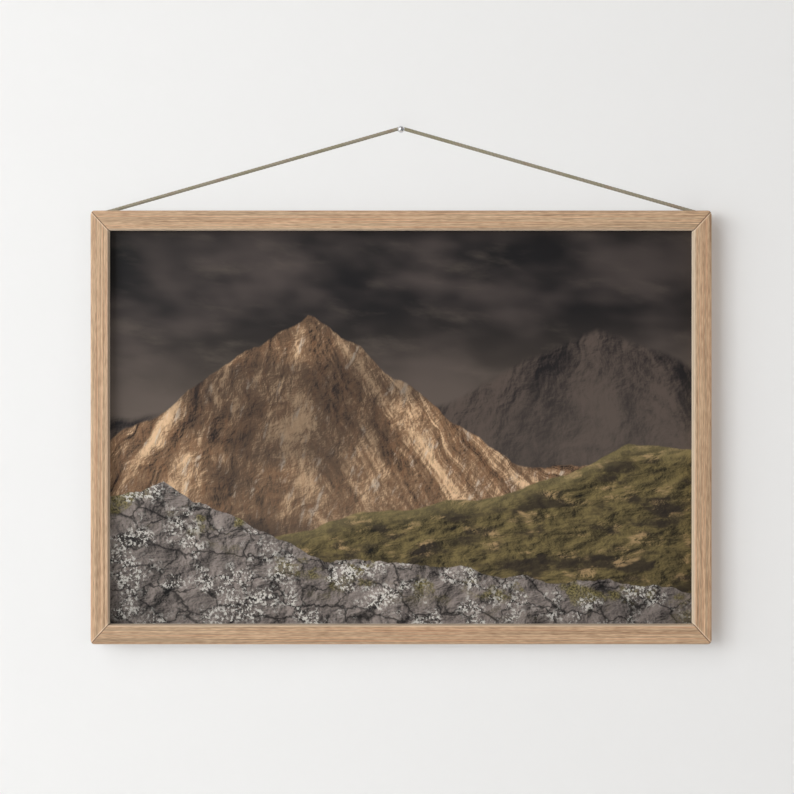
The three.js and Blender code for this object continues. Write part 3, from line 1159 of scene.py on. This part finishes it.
    def build(self, finish: Material, brass: Material) -> None:
        """Args:
            finish: The cord's material.
            brass: The sleeves' material.
        """
        centres = self.centres(self.route())
        cord = fit(self.tube("twisted_cord", centres), finish, "cord")
        cord.visible_shadow = False
        cord.visible_diffuse = False
        for side in Side:
            solid = f"cord_sleeve_{side.label}"
            sleeve_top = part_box(solid)[1].z
            eye = self.tube(f"twisted_eye_{side.label}", self.centres(self.eye_path(side, sleeve_top)))
            tail = self.tube(f"cut_tail_{side.label}", self.centres(self.tail_path(side, sleeve_top)))
            fit(eye, finish, f"cord_eye_{side.label}")
            fit(tail, finish)
            fit(self.sleeve(side), brass, solid)


@dataclass(frozen=True)
class Rail:
    """One rail: where it runs, the cut of its board, and its inner lip.

    Its two ends and its inner side are given as signs along X and Z from the frame's middle. The
    lip's band is the width on the front face over which the lip's painted highlight fades in, and
    its lean is how far the wall under it comes inwards towards the print. Only a rail that bounces
    sends light on to the wall.
    """

    name: str
    grain: Grain
    ends: tuple[tuple[int, int], tuple[int, int]]
    inward: Triple
    cut: float
    tone: float
    contrast: float
    lip_band: float = 0.95 * MM
    lip_lean: float = 0.0
    bounces: bool = False


@dataclass
class MitredFrame:
    """The four oak rails: one section carried between two mitres, with eased edges."""

    depth: float = 20.0 * MM
    rebate: float = 6.5 * MM
    recess: float = 12.3 * MM
    level_face: float = 20.0 * MM
    upright_face: float = 18.35 * MM
    outer_rounding: float = 2.0 * MM
    inner_rounding: float = 0.9 * MM
    lip_rounding: float = 0.3 * MM
    back_rounding: float = 0.8 * MM
    corner_rounding: float = 3.4 * MM
    corner_reach: float = 9.0 * MM
    lip_highlight_at_face: float = 0.34
    mitre_gap: float = 0.10 * MM
    mitre_easing: float = 0.30 * MM
    easing_length: float = 0.7 * MM
    rounding_steps: int = 6
    stations_mm: tuple[float, ...] = (0.0, 0.08, 0.2, 0.4, 0.7, 1.0, 1.5, 2.1, 2.8, 3.4, 5.0)
    rails: tuple[Rail, ...] = (
        Rail("top", Grain.LEVEL, ((-1, 1), (1, 1)), (0, 0, -1), 1.7, 0.545, 1.2),
        Rail("bottom", Grain.LEVEL, ((-1, -1), (1, -1)), (0, 0, 1), 14.2, 0.495, 0.8, lip_band=1.6 * MM),
        Rail("left", Grain.UPRIGHT, ((-1, -1), (-1, 1)), (1, 0, 0), 27.5, 0.56, 1.6),
        Rail(
            "right",
            Grain.UPRIGHT,
            ((1, -1), (1, 1)),
            (-1, 0, 0),
            40.1,
            0.515,
            1.35,
            lip_band=1.9 * MM,
            lip_lean=0.5 * MM,
            bounces=True,
        ),
    )

    def section(self, rail: Rail, face: float) -> Array:
        """A rail's section: u runs in from the outer edge, v back from the front face.

        Args:
            rail: The rail.
            face: The width of the rail's front face.

        Returns:
            The outline, shape (n, 2), once round from the outer front edge.
        """
        return rounded(
            [
                (0.0, 0.0, self.outer_rounding),
                (face - rail.lip_band, 0.0, 0.0),
                (face, 0.0, self.inner_rounding),
                (face + rail.lip_lean, self.recess, self.lip_rounding),
                (face - self.rebate, self.recess, 0.0),
                (face - self.rebate, self.depth, self.lip_rounding),
                (0.0, self.depth, self.back_rounding),
            ],
            self.rounding_steps,
        )

    def lip_highlight(self, outline: Array, face: float) -> Array:
        """How strong the lip's painted highlight is at each point of a section, rising towards the
        print.
        """
        on_lip = (outline[:, 0] > face - 1.01 * self.inner_rounding) & (outline[:, 1] < self.recess)
        return on_lip * (self.lip_highlight_at_face + (1 - self.lip_highlight_at_face) * outline[:, 1] / self.recess)

    def build_rail(self, rail: Rail, corners: dict[tuple[int, int], Vector]) -> Piece:
        """One rail: its section at stations from each mitre.

        A point is start + inward * u + back * v + along * a. At the distance d from the mitre,
        a = u * slope + d * sqrt(1 + slope^2). Close to the mitre the section shrinks by
        easing * (1 - d / length)^2, which eases the joint's edges. At the frame's outer corner the
        outer part of the section moves in by r - (d + sqrt(2 r^2 - d^2)) / 2, a quarter round.

        Args:
            rail: The rail.
            corners: The frame's outer front corners by their signs.

        Returns:
            The rail, which holds its points' distance from the mitre and its lip's painted highlight.
        """
        start, end = (corners[sign] for sign in rail.ends)
        faces = (self.level_face, self.upright_face)
        face, other_face = faces if rail.grain is Grain.LEVEL else faces[::-1]
        along = np.array((end - start).normalized())
        slope = other_face / face
        outline = self.section(rail, face)
        away = np.array(self.stations_mm) * MM
        easing = self.mitre_easing * np.clip(1 - away / self.easing_length, 0, 1) ** 2
        radius = self.corner_rounding
        near = np.minimum(away, radius)
        moved = radius - (near + np.sqrt(2 * radius**2 - near**2)) / 2
        u, v = np.moveaxis(np.stack([inset(outline, depth) for depth in easing]), -1, 0)
        u = u + moved[:, None] * np.clip(1 - u / self.corner_reach, 0, 1)
        a = u * slope + (self.mitre_gap / 2 + away[:, None]) * math.hypot(1, slope)
        u, v = (np.concatenate([part, part[::-1]]) for part in (u, v))
        a = np.concatenate([a, (end - start).length - a[::-1]])
        inward, back = np.array(rail.inward, float), np.array([0.0, 1.0, 0.0])
        axes = zip((u, v, a), (inward, back, along))
        points = np.array(start) + sum(part[..., None] * axis for part, axis in axes)
        lip_highlight = self.lip_highlight(outline, face)[None, :].repeat(len(points), 0)
        if np.dot(np.cross(inward, back), along) < 0:
            points, lip_highlight = points[:, ::-1], lip_highlight[:, ::-1]
        made = lofted(f"oak_rail_{rail.name}", points, 50.0)
        from_mitre = np.concatenate([away, away[::-1]])[:, None].repeat(len(outline), 1) / MM
        hold(made, "from_mitre", from_mitre)
        hold(made, "lip_highlight", lip_highlight)
        return made

    def build(self) -> None:
        """Builds and dresses the four rails."""
        level = (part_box("rail_left")[0].x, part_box("rail_right")[1].x)
        upright = (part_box("rail_bottom")[0].z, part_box("rail_top")[1].z)
        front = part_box("rail_top")[0].y
        signs = [(x, z) for x in (-1, 1) for z in (-1, 1)]
        corners = {(x, z): Vector((level[x > 0], front, upright[z > 0])) for x, z in signs}
        for rail in self.rails:
            finish = OakFinish(f"oak_{rail.name}", rail.grain, rail.cut, rail.tone, rail.contrast)
            made = fit(self.build_rail(rail, corners), finish.material(), f"rail_{rail.name}")
            made.visible_diffuse = rail.bounces


@dataclass
class PrintAndBack:
    """The print, the board behind it and the tabs that hold both in the rebate."""

    rows: int = 40
    columns: int = 60
    buckle: float = 0.06 * MM
    tabs: dict[str, int] = field(default_factory=lambda: {"top": 4, "bottom": 4, "left": 2, "right": 2})
    tab_grid: tuple[int, int] = (24, 15)
    tab_bend: float = 0.5 * MM
    tab_thickness: float = 0.5 * MM
    tab_from_board: float = 0.3 * MM
    rib_height: float = 0.35 * MM
    rib_width: float = 0.9 * MM

    def build_print(self) -> None:
        """The print: a sheet that buckles a little, y = front + buckle * (1 + sin(3u) * sin(2v))."""
        low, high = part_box("print_sheet")
        u, v = np.meshgrid(np.linspace(0, 1, self.columns), np.linspace(0, 1, self.rows))
        wave = self.buckle * (1 + np.sin(3 * np.pi * u) * np.sin(2 * np.pi * v))
        x = low.x + (high.x - low.x) * u
        z = low.z + (high.z - low.z) * v
        front = np.stack([x, low.y + wave, z], axis=-1)
        back = front.copy()
        back[..., 1] = high.y - 2 * self.buckle + wave
        grid = np.arange(self.rows * self.columns).reshape(self.rows, self.columns)
        rim = np.concatenate([grid[0, :-1], grid[:-1, -1], grid[-1, :0:-1], grid[:0:-1, 0]])
        after = np.roll(rim, -1)
        walls = np.stack([rim, rim + grid.size, after + grid.size, after], axis=1)
        faces = quads(self.rows, self.columns)
        faces = np.concatenate([faces, faces[:, ::-1] + grid.size, walls])
        sheet = put("landscape_print", np.stack([front, back]), faces.tolist())
        finish = LandscapePrint((low.z + high.z) / 2).material()
        fit(sheet, finish, "print_sheet")

    def tab(self, node: str, side: str) -> Piece:
        """One tab in its node's box, from its root in the rail to its round tip.

        At t of its length it is lifted by bend * t^2, and a rib is pressed along its middle.

        Args:
            node: The node that it stands for.
            side: The rail that it is pushed into.

        Returns:
            The tab.
        """
        low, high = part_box(node)
        middle = (low + high) / 2
        upright = side in ("top", "bottom")
        spans = (high.z - low.z, high.x - low.x)
        length, width = spans if upright else spans[::-1]
        t, s = np.meshgrid(np.linspace(0, 1, self.tab_grid[0]), np.linspace(-1, 1, self.tab_grid[1]))
        from_tip = np.clip((1 - t) * length / (width / 2), 0, 1)
        across = s * (width / 2) * np.sqrt(np.clip(1 - (1 - from_tip) ** 2, 1e-4, 1))
        rib = self.rib_height * np.exp(-((across / self.rib_width) ** 2)) * np.sin(np.pi * t).clip(0, 1)
        run = t * length
        if upright:
            x, z = middle.x + across, (high.z - run if side == "top" else low.z + run)
        else:
            x, z = (low.x + run if side == "left" else high.x - run), middle.z + across
        y = low.y + self.tab_from_board + self.tab_bend * t**2 + rib
        faces = quads(*t.shape)
        if side in ("bottom", "right"):
            faces = faces[:, ::-1]
        tab = put(f"steel_{node}", np.stack([x, y, z], axis=-1), faces.tolist())
        sheet = tab.modifiers.new("sheet_steel", "SOLIDIFY")
        sheet.thickness = self.tab_thickness
        sheet.offset = 0.0
        return tab

    def build(self, board: Material, steel: Material, nodes: dict[str, Piece]) -> None:
        """Builds the print and the tabs, and dresses the board.

        Args:
            board: The board's material.
            steel: The tabs' material.
            nodes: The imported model's objects by name.
        """
        self.build_print()
        for side, count in self.tabs.items():
            for number in range(1, count + 1):
                node = f"tab_{side}_{number}"
                fit(self.tab(node, side), steel, node)
        dress(nodes["backing_board"], board)


@dataclass
class Hardware:
    """The turned pieces: wall pin, corner pegs, tie screws and bumpers."""

    pin_tilt: float = math.radians(5)
    pin_shank: float = 1.2 * MM
    pin_ball: float = 3.8 * MM
    pin_ball_from_wall: float = 9.0 * MM
    pin_in_wall: float = 22.0 * MM
    pin_point: float = 4.5 * MM
    pin_sides: int = 64
    peg_radius: float = 5.5 * MM
    peg_edge: float = 0.3 * MM
    flange_radius: float = 6.1 * MM
    flange: float = 0.9 * MM
    flange_bevel: float = 0.8 * MM
    flange_edge: float = 0.2 * MM
    screw_shank: float = 1.75 * MM
    screw_head: float = 4.5 * MM
    screw_head_height: float = 1.4 * MM
    screw_edge: float = 0.15 * MM
    shoulder_height: float = 0.77 * MM
    shoulder_rounding: float = 0.5 * MM
    crown_rounding: float = 0.6 * MM
    shoulder_share: float = 0.9
    crown_share: float = 0.55
    flat_share: float = 0.2
    slot_width: float = 1.0 * MM
    slot_depth: float = 0.8 * MM
    slot_turn: float = math.radians(32)
    cutter_share: float = 1.3
    merge_distance: float = 0.001 * MM
    bumper_waist: float = 0.25 * MM
    bumper_roundings: Triple = (0.4 * MM, 1.5 * MM, 0.7 * MM)
    rounding_steps: int = 5
    closing_radius: float = 0.02 * MM

    def pin(self) -> Piece:
        """The wall pin: a pointed shank and a polished ball.

        The ball's profile is radius * cos a, radius * sin a from the neck to the front.

        Returns:
            The pin, which throws no shadow on the wall.
        """
        axis = Vector((0.0, -math.cos(self.pin_tilt), math.sin(self.pin_tilt)))
        ball_at = self.pin_ball_from_wall / math.cos(self.pin_tilt)
        neck = math.acos(self.pin_shank / self.pin_ball)
        angle = np.linspace(-neck, math.pi / 2 - 0.01, 40)
        ball = np.stack([self.pin_ball * np.cos(angle), ball_at + self.pin_ball * np.sin(angle)], axis=1)
        shank = [[self.closing_radius, 0.0], [self.pin_shank, self.pin_point]]
        profile = np.concatenate([np.array(shank) - [0.0, self.pin_in_wall], ball])
        pin = turned("ball_pin", profile, Vector((0, 0, 0)), axis, self.pin_sides)
        pin.visible_shadow = False
        return pin

    def turned_node(self, node: str, corners: list[Triple]) -> Piece:
        """A turned piece on the Y axis through its node's middle.

        Args:
            node: The node that it stands for.
            corners: Radius, depth behind the node's front, and rounding of each profile corner.

        Returns:
            The piece, not yet dressed.
        """
        low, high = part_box(node)
        ends = [(0.0, corners[index][1], 0.0) for index in (0, -1)]
        outline = rounded([ends[0], *corners, ends[1]], self.rounding_steps)
        outline[:, 0] = np.maximum(outline[:, 0], self.closing_radius)
        centre = Vector(((low.x + high.x) / 2, low.y, (low.z + high.z) / 2))
        return turned(f"turned_{node}", outline, centre, Vector((0.0, 1.0, 0.0)))

    def peg(self, node: str) -> Piece:
        """A corner peg: a drum for the cord and a flange behind it.

        Args:
            node: The node that it stands for.

        Returns:
            The peg, not yet dressed.
        """
        low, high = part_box(node)
        depth = high.y - low.y
        corners = [
            (self.peg_radius, 0.0, self.peg_edge),
            (self.peg_radius, depth - self.flange, 0.0),
            (self.flange_radius, depth - self.flange, self.flange_edge),
            (self.flange_radius, depth - self.peg_edge, self.peg_edge),
            (self.flange_radius - self.flange_bevel, depth, self.flange_edge),
        ]
        return self.turned_node(node, corners)

    def tie_screw(self, node: str, turn: float) -> Piece:
        """A tie screw: a shank and a domed head with a driver's slot at an angle.

        Args:
            node: The node that it stands for.
            turn: The slot's angle in the XZ plane.

        Returns:
            The screw, not yet dressed.
        """
        low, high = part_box(node)
        depth = high.y - low.y
        head = depth - self.screw_head_height
        corners = [
            (self.screw_shank, 0.0, 0.0),
            (self.screw_shank, head, 0.0),
            (self.screw_head, head, self.screw_edge),
            (self.screw_head * self.shoulder_share, head + self.shoulder_height, self.shoulder_rounding),
            (self.screw_head * self.crown_share, depth, self.crown_rounding),
            (self.screw_head * self.flat_share, depth, 0.0),
        ]
        screw = self.turned_node(node, corners)
        self.cut_slot(screw, (low + high) / 2, high.y, turn)
        return screw

    def cut_slot(self, screw: Piece, middle: Vector, top: float, turn: float) -> None:
        """Cuts a driver's slot across a screw's head with a box, and clears what that leaves.

        Args:
            screw: The screw, with its head on the side of its highest y.
            middle: The middle of its box.
            top: The y of the head's top.
            turn: The slot's angle in the XZ plane.
        """
        along = np.array([math.cos(turn), 0.0, math.sin(turn)]) * (self.screw_head * self.cutter_share)
        across = np.array([-math.sin(turn), 0.0, math.cos(turn)]) * (self.slot_width / 2)
        ring = np.array([-along - across, along - across, along + across, -along + across])
        ring = ring + [middle.x, 0.0, middle.z]
        ends = [[0.0, top - self.slot_depth, 0.0], [0.0, top + self.slot_depth, 0.0]]
        box = lofted("slot_cutter", ring + np.array(ends)[:, None])
        screw.modifiers.new("driver_slot", "BOOLEAN").object = box
        shown = screw.evaluated_get(bpy.context.evaluated_depsgraph_get())
        mesh = bpy.data.meshes.new_from_object(shown)
        screw.modifiers.clear()
        screw.data = mesh
        bpy.data.objects.remove(box)
        clean = bmesh.new()
        clean.from_mesh(mesh)
        bmesh.ops.dissolve_degenerate(clean, dist=self.merge_distance, edges=clean.edges)
        clean.to_mesh(mesh)
        clean.free()
        mesh.set_sharp_from_angle(angle=math.radians(SMOOTH_ANGLE))

    def bumper(self, node: str) -> Piece:
        """A bumper: a round pad with soft edges and a shallow waist.

        Args:
            node: The node that it stands for.

        Returns:
            The bumper, not yet dressed.
        """
        low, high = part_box(node)
        radius, depth = (high.x - low.x) / 2, high.y - low.y
        front, waist, back = self.bumper_roundings
        corners = [
            (radius, 0.0, front),
            (radius - self.bumper_waist, depth / 2, waist),
            (radius, depth, back),
        ]
        return self.turned_node(node, corners)

    def build(self, chrome: Material, brass: Material, rubber: Material) -> None:
        """Builds every turned piece.

        Args:
            chrome: The pin's material.
            brass: The pegs' and screws' material.
            rubber: The bumpers' material.
        """
        fit(self.pin(), chrome, "wall_pin")
        for side in Side:
            peg, screw = f"corner_peg_{side.label}", f"tie_screw_{side.label}"
            fit(self.peg(peg), brass, peg)
            fit(self.tie_screw(screw, self.slot_turn * side.value), brass, screw)
            for end in ("top", "bottom"):
                node = f"bumper_{end}_{side.label}"
                fit(self.bumper(node), rubber, node)


@dataclass(frozen=True)
class Lamp:
    """A soft square light that faces the print, by its angles in degrees and its watts."""

    name: str
    left: float
    up: float
    power: float


@dataclass(frozen=True)
class Card:
    """A card round the pin that only shiny metal shows, by its angles, its size and its shade."""

    name: str
    left: float
    up: float
    width: float
    height: float
    shade: Colour


@dataclass
class Studio:
    """The pale wall and floor, the soft light of a wide window on the left, and the world."""

    wall_top: float = 2.6
    floor_z: float = -1.8
    cove: float = 0.45
    half_width: float = 4.5
    floor_depth: float = 5.0
    paint: Colour = (241, 240, 239)
    lamp_size: float = 2.34
    lamp_distance: float = 5.0
    aim: Triple = (0.0, 0.0, -0.31)
    lamps: tuple[Lamp, ...] = (
        Lamp("window_near", 38, 8, 90.0),
        Lamp("window_far", 60, 8, 61.0),
        Lamp("window_top", 35, 38, 38.5),
        Lamp("room", -40, 8, 12.0),
    )
    back_light_place: Triple = (0.9, 2.4, 0.4)
    back_light_size: float = 2.2
    back_light_power: float = 60.0
    world_strength: float = 0.306
    world_colour: Triple = (1.0, 0.948, 0.90)
    lamp_colour: Triple = (0.955, 0.983, 1.0)
    card_distance: float = 2.5
    card_mottle: float = 0.85
    # glowing cards that paint the pin's reflections: a pale room, a window's glint, a dark floor and a
    # dark door
    cards: tuple[Card, ...] = (
        Card("pale_room", 6, 8, 1.1, 1.0, (232, 231, 229)),
        Card("far_window", -38, 12, 0.55, 0.6, (255, 255, 255)),
        Card("dark_floor", -8, -38, 4.5, 1.6, (24, 22, 20)),
        Card("dark_door", -72, -8, 2.2, 3.2, (20, 18, 15)),
    )

    def wall_material(self) -> Material:
        """Smooth off-white paint that light from behind passes, so the back can be looked at.

        Returns:
            The wall's material.
        """
        shader = Shader.of_material("wall_paint")
        roller = shader.grit(420.0, (0.0, 0.0, 0.0), 3)
        inputs = {"Base Color": linear(self.paint), "Roughness": 0.9, "Specular IOR Level": 0.1}
        inputs["Normal"] = shader.bump(roller, 0.05 * MM, 0.25)
        surface = shader.node("ShaderNodeBsdfPrincipled", inputs=inputs)
        clear = shader.node("ShaderNodeBsdfTransparent")
        behind = shader.node("ShaderNodeNewGeometry", output="Backfacing")
        shadow = shader.node("ShaderNodeLightPath", output="Is Shadow Ray")
        passes = {0: behind.most(shadow), 1: surface, 2: clear}
        shader.output(shader.node("ShaderNodeMixShader", inputs=passes))
        return shader.owner

    def build_wall(self) -> None:
        """The wall, its cove and the floor: one profile in y and z carried along X.

        The cove's points are -r * (1 - cos b) in y and floor + r * (1 - sin b) in z.
        """
        bend = np.linspace(0, np.pi / 2, 24)
        y = np.concatenate([[0.0], -self.cove * (1 - np.cos(bend)), [-self.floor_depth]])
        cove_z = self.floor_z + self.cove * (1 - np.sin(bend))
        z = np.concatenate([[self.wall_top], cove_z, [self.floor_z]])
        x = np.linspace(-self.half_width, self.half_width, 3)
        grid = np.stack(np.broadcast_arrays(x[None, :], y[:, None], z[:, None]), axis=-1)
        wall = put("studio_wall", grid, quads(len(y), 3)[:, ::-1].tolist(), 60.0)
        dress(wall, self.wall_material())

    def lamp(self, name: str, place: Vector, size: float, power: float) -> None:
        """A square area light that faces the print.

        Args:
            name: The light's name.
            place: Where it stands.
            size: The length of its sides.
            power: Its power in watts.
        """
        data = bpy.data.lights.new(name, "AREA")
        data.shape = "SQUARE"
        data.size = size
        data.energy = power
        data.color = self.lamp_colour
        lamp = bpy.data.objects.new(name, data)
        lamp.location = place
        lamp.rotation_mode = "QUATERNION"
        lamp.rotation_quaternion = (Vector(self.aim) - place).to_track_quat("-Z", "Y")
        lamp.visible_camera = False
        bpy.context.scene.collection.objects.link(lamp)

    def toward(self, left: float, up: float) -> Vector:
        """The direction of a place in front of the wall, from its two angles in degrees."""
        left, up = math.radians(left), math.radians(up)
        return Vector((-math.sin(left) * math.cos(up), -math.cos(left) * math.cos(up), math.sin(up)))

    def build_card(self, card: Card) -> None:
        """A card that faces the pin and is seen by glossy rays only.

        Args:
            card: The card.
        """
        toward = self.toward(card.left, card.up)
        across = toward.cross(Vector((0, 0, 1))).normalized()
        upward = np.array(across.cross(toward)) * (card.height / 2)
        across = np.array(across) * (card.width / 2)
        corners = np.array([-across - upward, across - upward, across + upward, upward - across])
        made = put(card.name, corners + np.array(toward) * self.card_distance, [[0, 1, 2, 3]])
        shader = Shader.of_material(card.name)
        mottle = shader.grit(2.0, (0.0, 0.0, 0.0), 2)
        duller = tuple(self.card_mottle * part for part in card.shade)
        # a glowing card, seen only in reflections, that paints a reflection in the pin
        reflection_glow = shader.finish(
            Base_Color=linear((0, 0, 0)),
            Roughness=1.0,
            Specular_IOR_Level=0.0,
            Emission_Color=shader.mix(mottle, duller, card.shade),
            Emission_Strength=1.0,
        )
        dress(made, reflection_glow)
        for kind in ("camera", "diffuse", "shadow", "transmission"):
            setattr(made, f"visible_{kind}", False)

    def build(self) -> None:
        """Builds the whole stage."""
        self.build_wall()
        for card in self.cards:
            self.build_card(card)
        world = Shader(bpy.data.worlds.new("studio_world"))
        pale = {"Color": (*self.world_colour, 1.0), "Strength": self.world_strength}
        world.output(world.node("ShaderNodeBackground", inputs=pale), "ShaderNodeOutputWorld")
        bpy.context.scene.world = world.owner
        for lamp in self.lamps:
            place = Vector(self.aim) + self.toward(lamp.left, lamp.up) * self.lamp_distance
            self.lamp(lamp.name, place, self.lamp_size, lamp.power)
        self.lamp("behind", Vector(self.back_light_place), self.back_light_size, self.back_light_power)
        bpy.context.scene.view_settings.view_transform = "Standard"


def main() -> None:
    """Builds the camera, the cord, the frame and print, the hardware and the stage."""
    logging.basicConfig(level=logging.INFO)
    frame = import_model()
    Camera().build(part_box("rail_top")[0].y)
    brass = MetalFinish("brass", (192, 165, 118), (132, 110, 76), 0.26, 0.25).material()
    HangingCord().build(CordFinish().material(), brass)
    MitredFrame().build()
    steel = MetalFinish("spring_steel", (196, 198, 197), (150, 152, 152), 0.30, 0.25).material()
    PrintAndBack().build(BoardFinish().material(), steel, frame["nodes"])
    chrome = MetalFinish("chrome", (226, 227, 229), (218, 219, 222), 0.04, 0.03).material()
    Hardware().build(chrome, brass, RubberFinish().material())
    Studio().build()


if __name__ == "__main__":
    main()
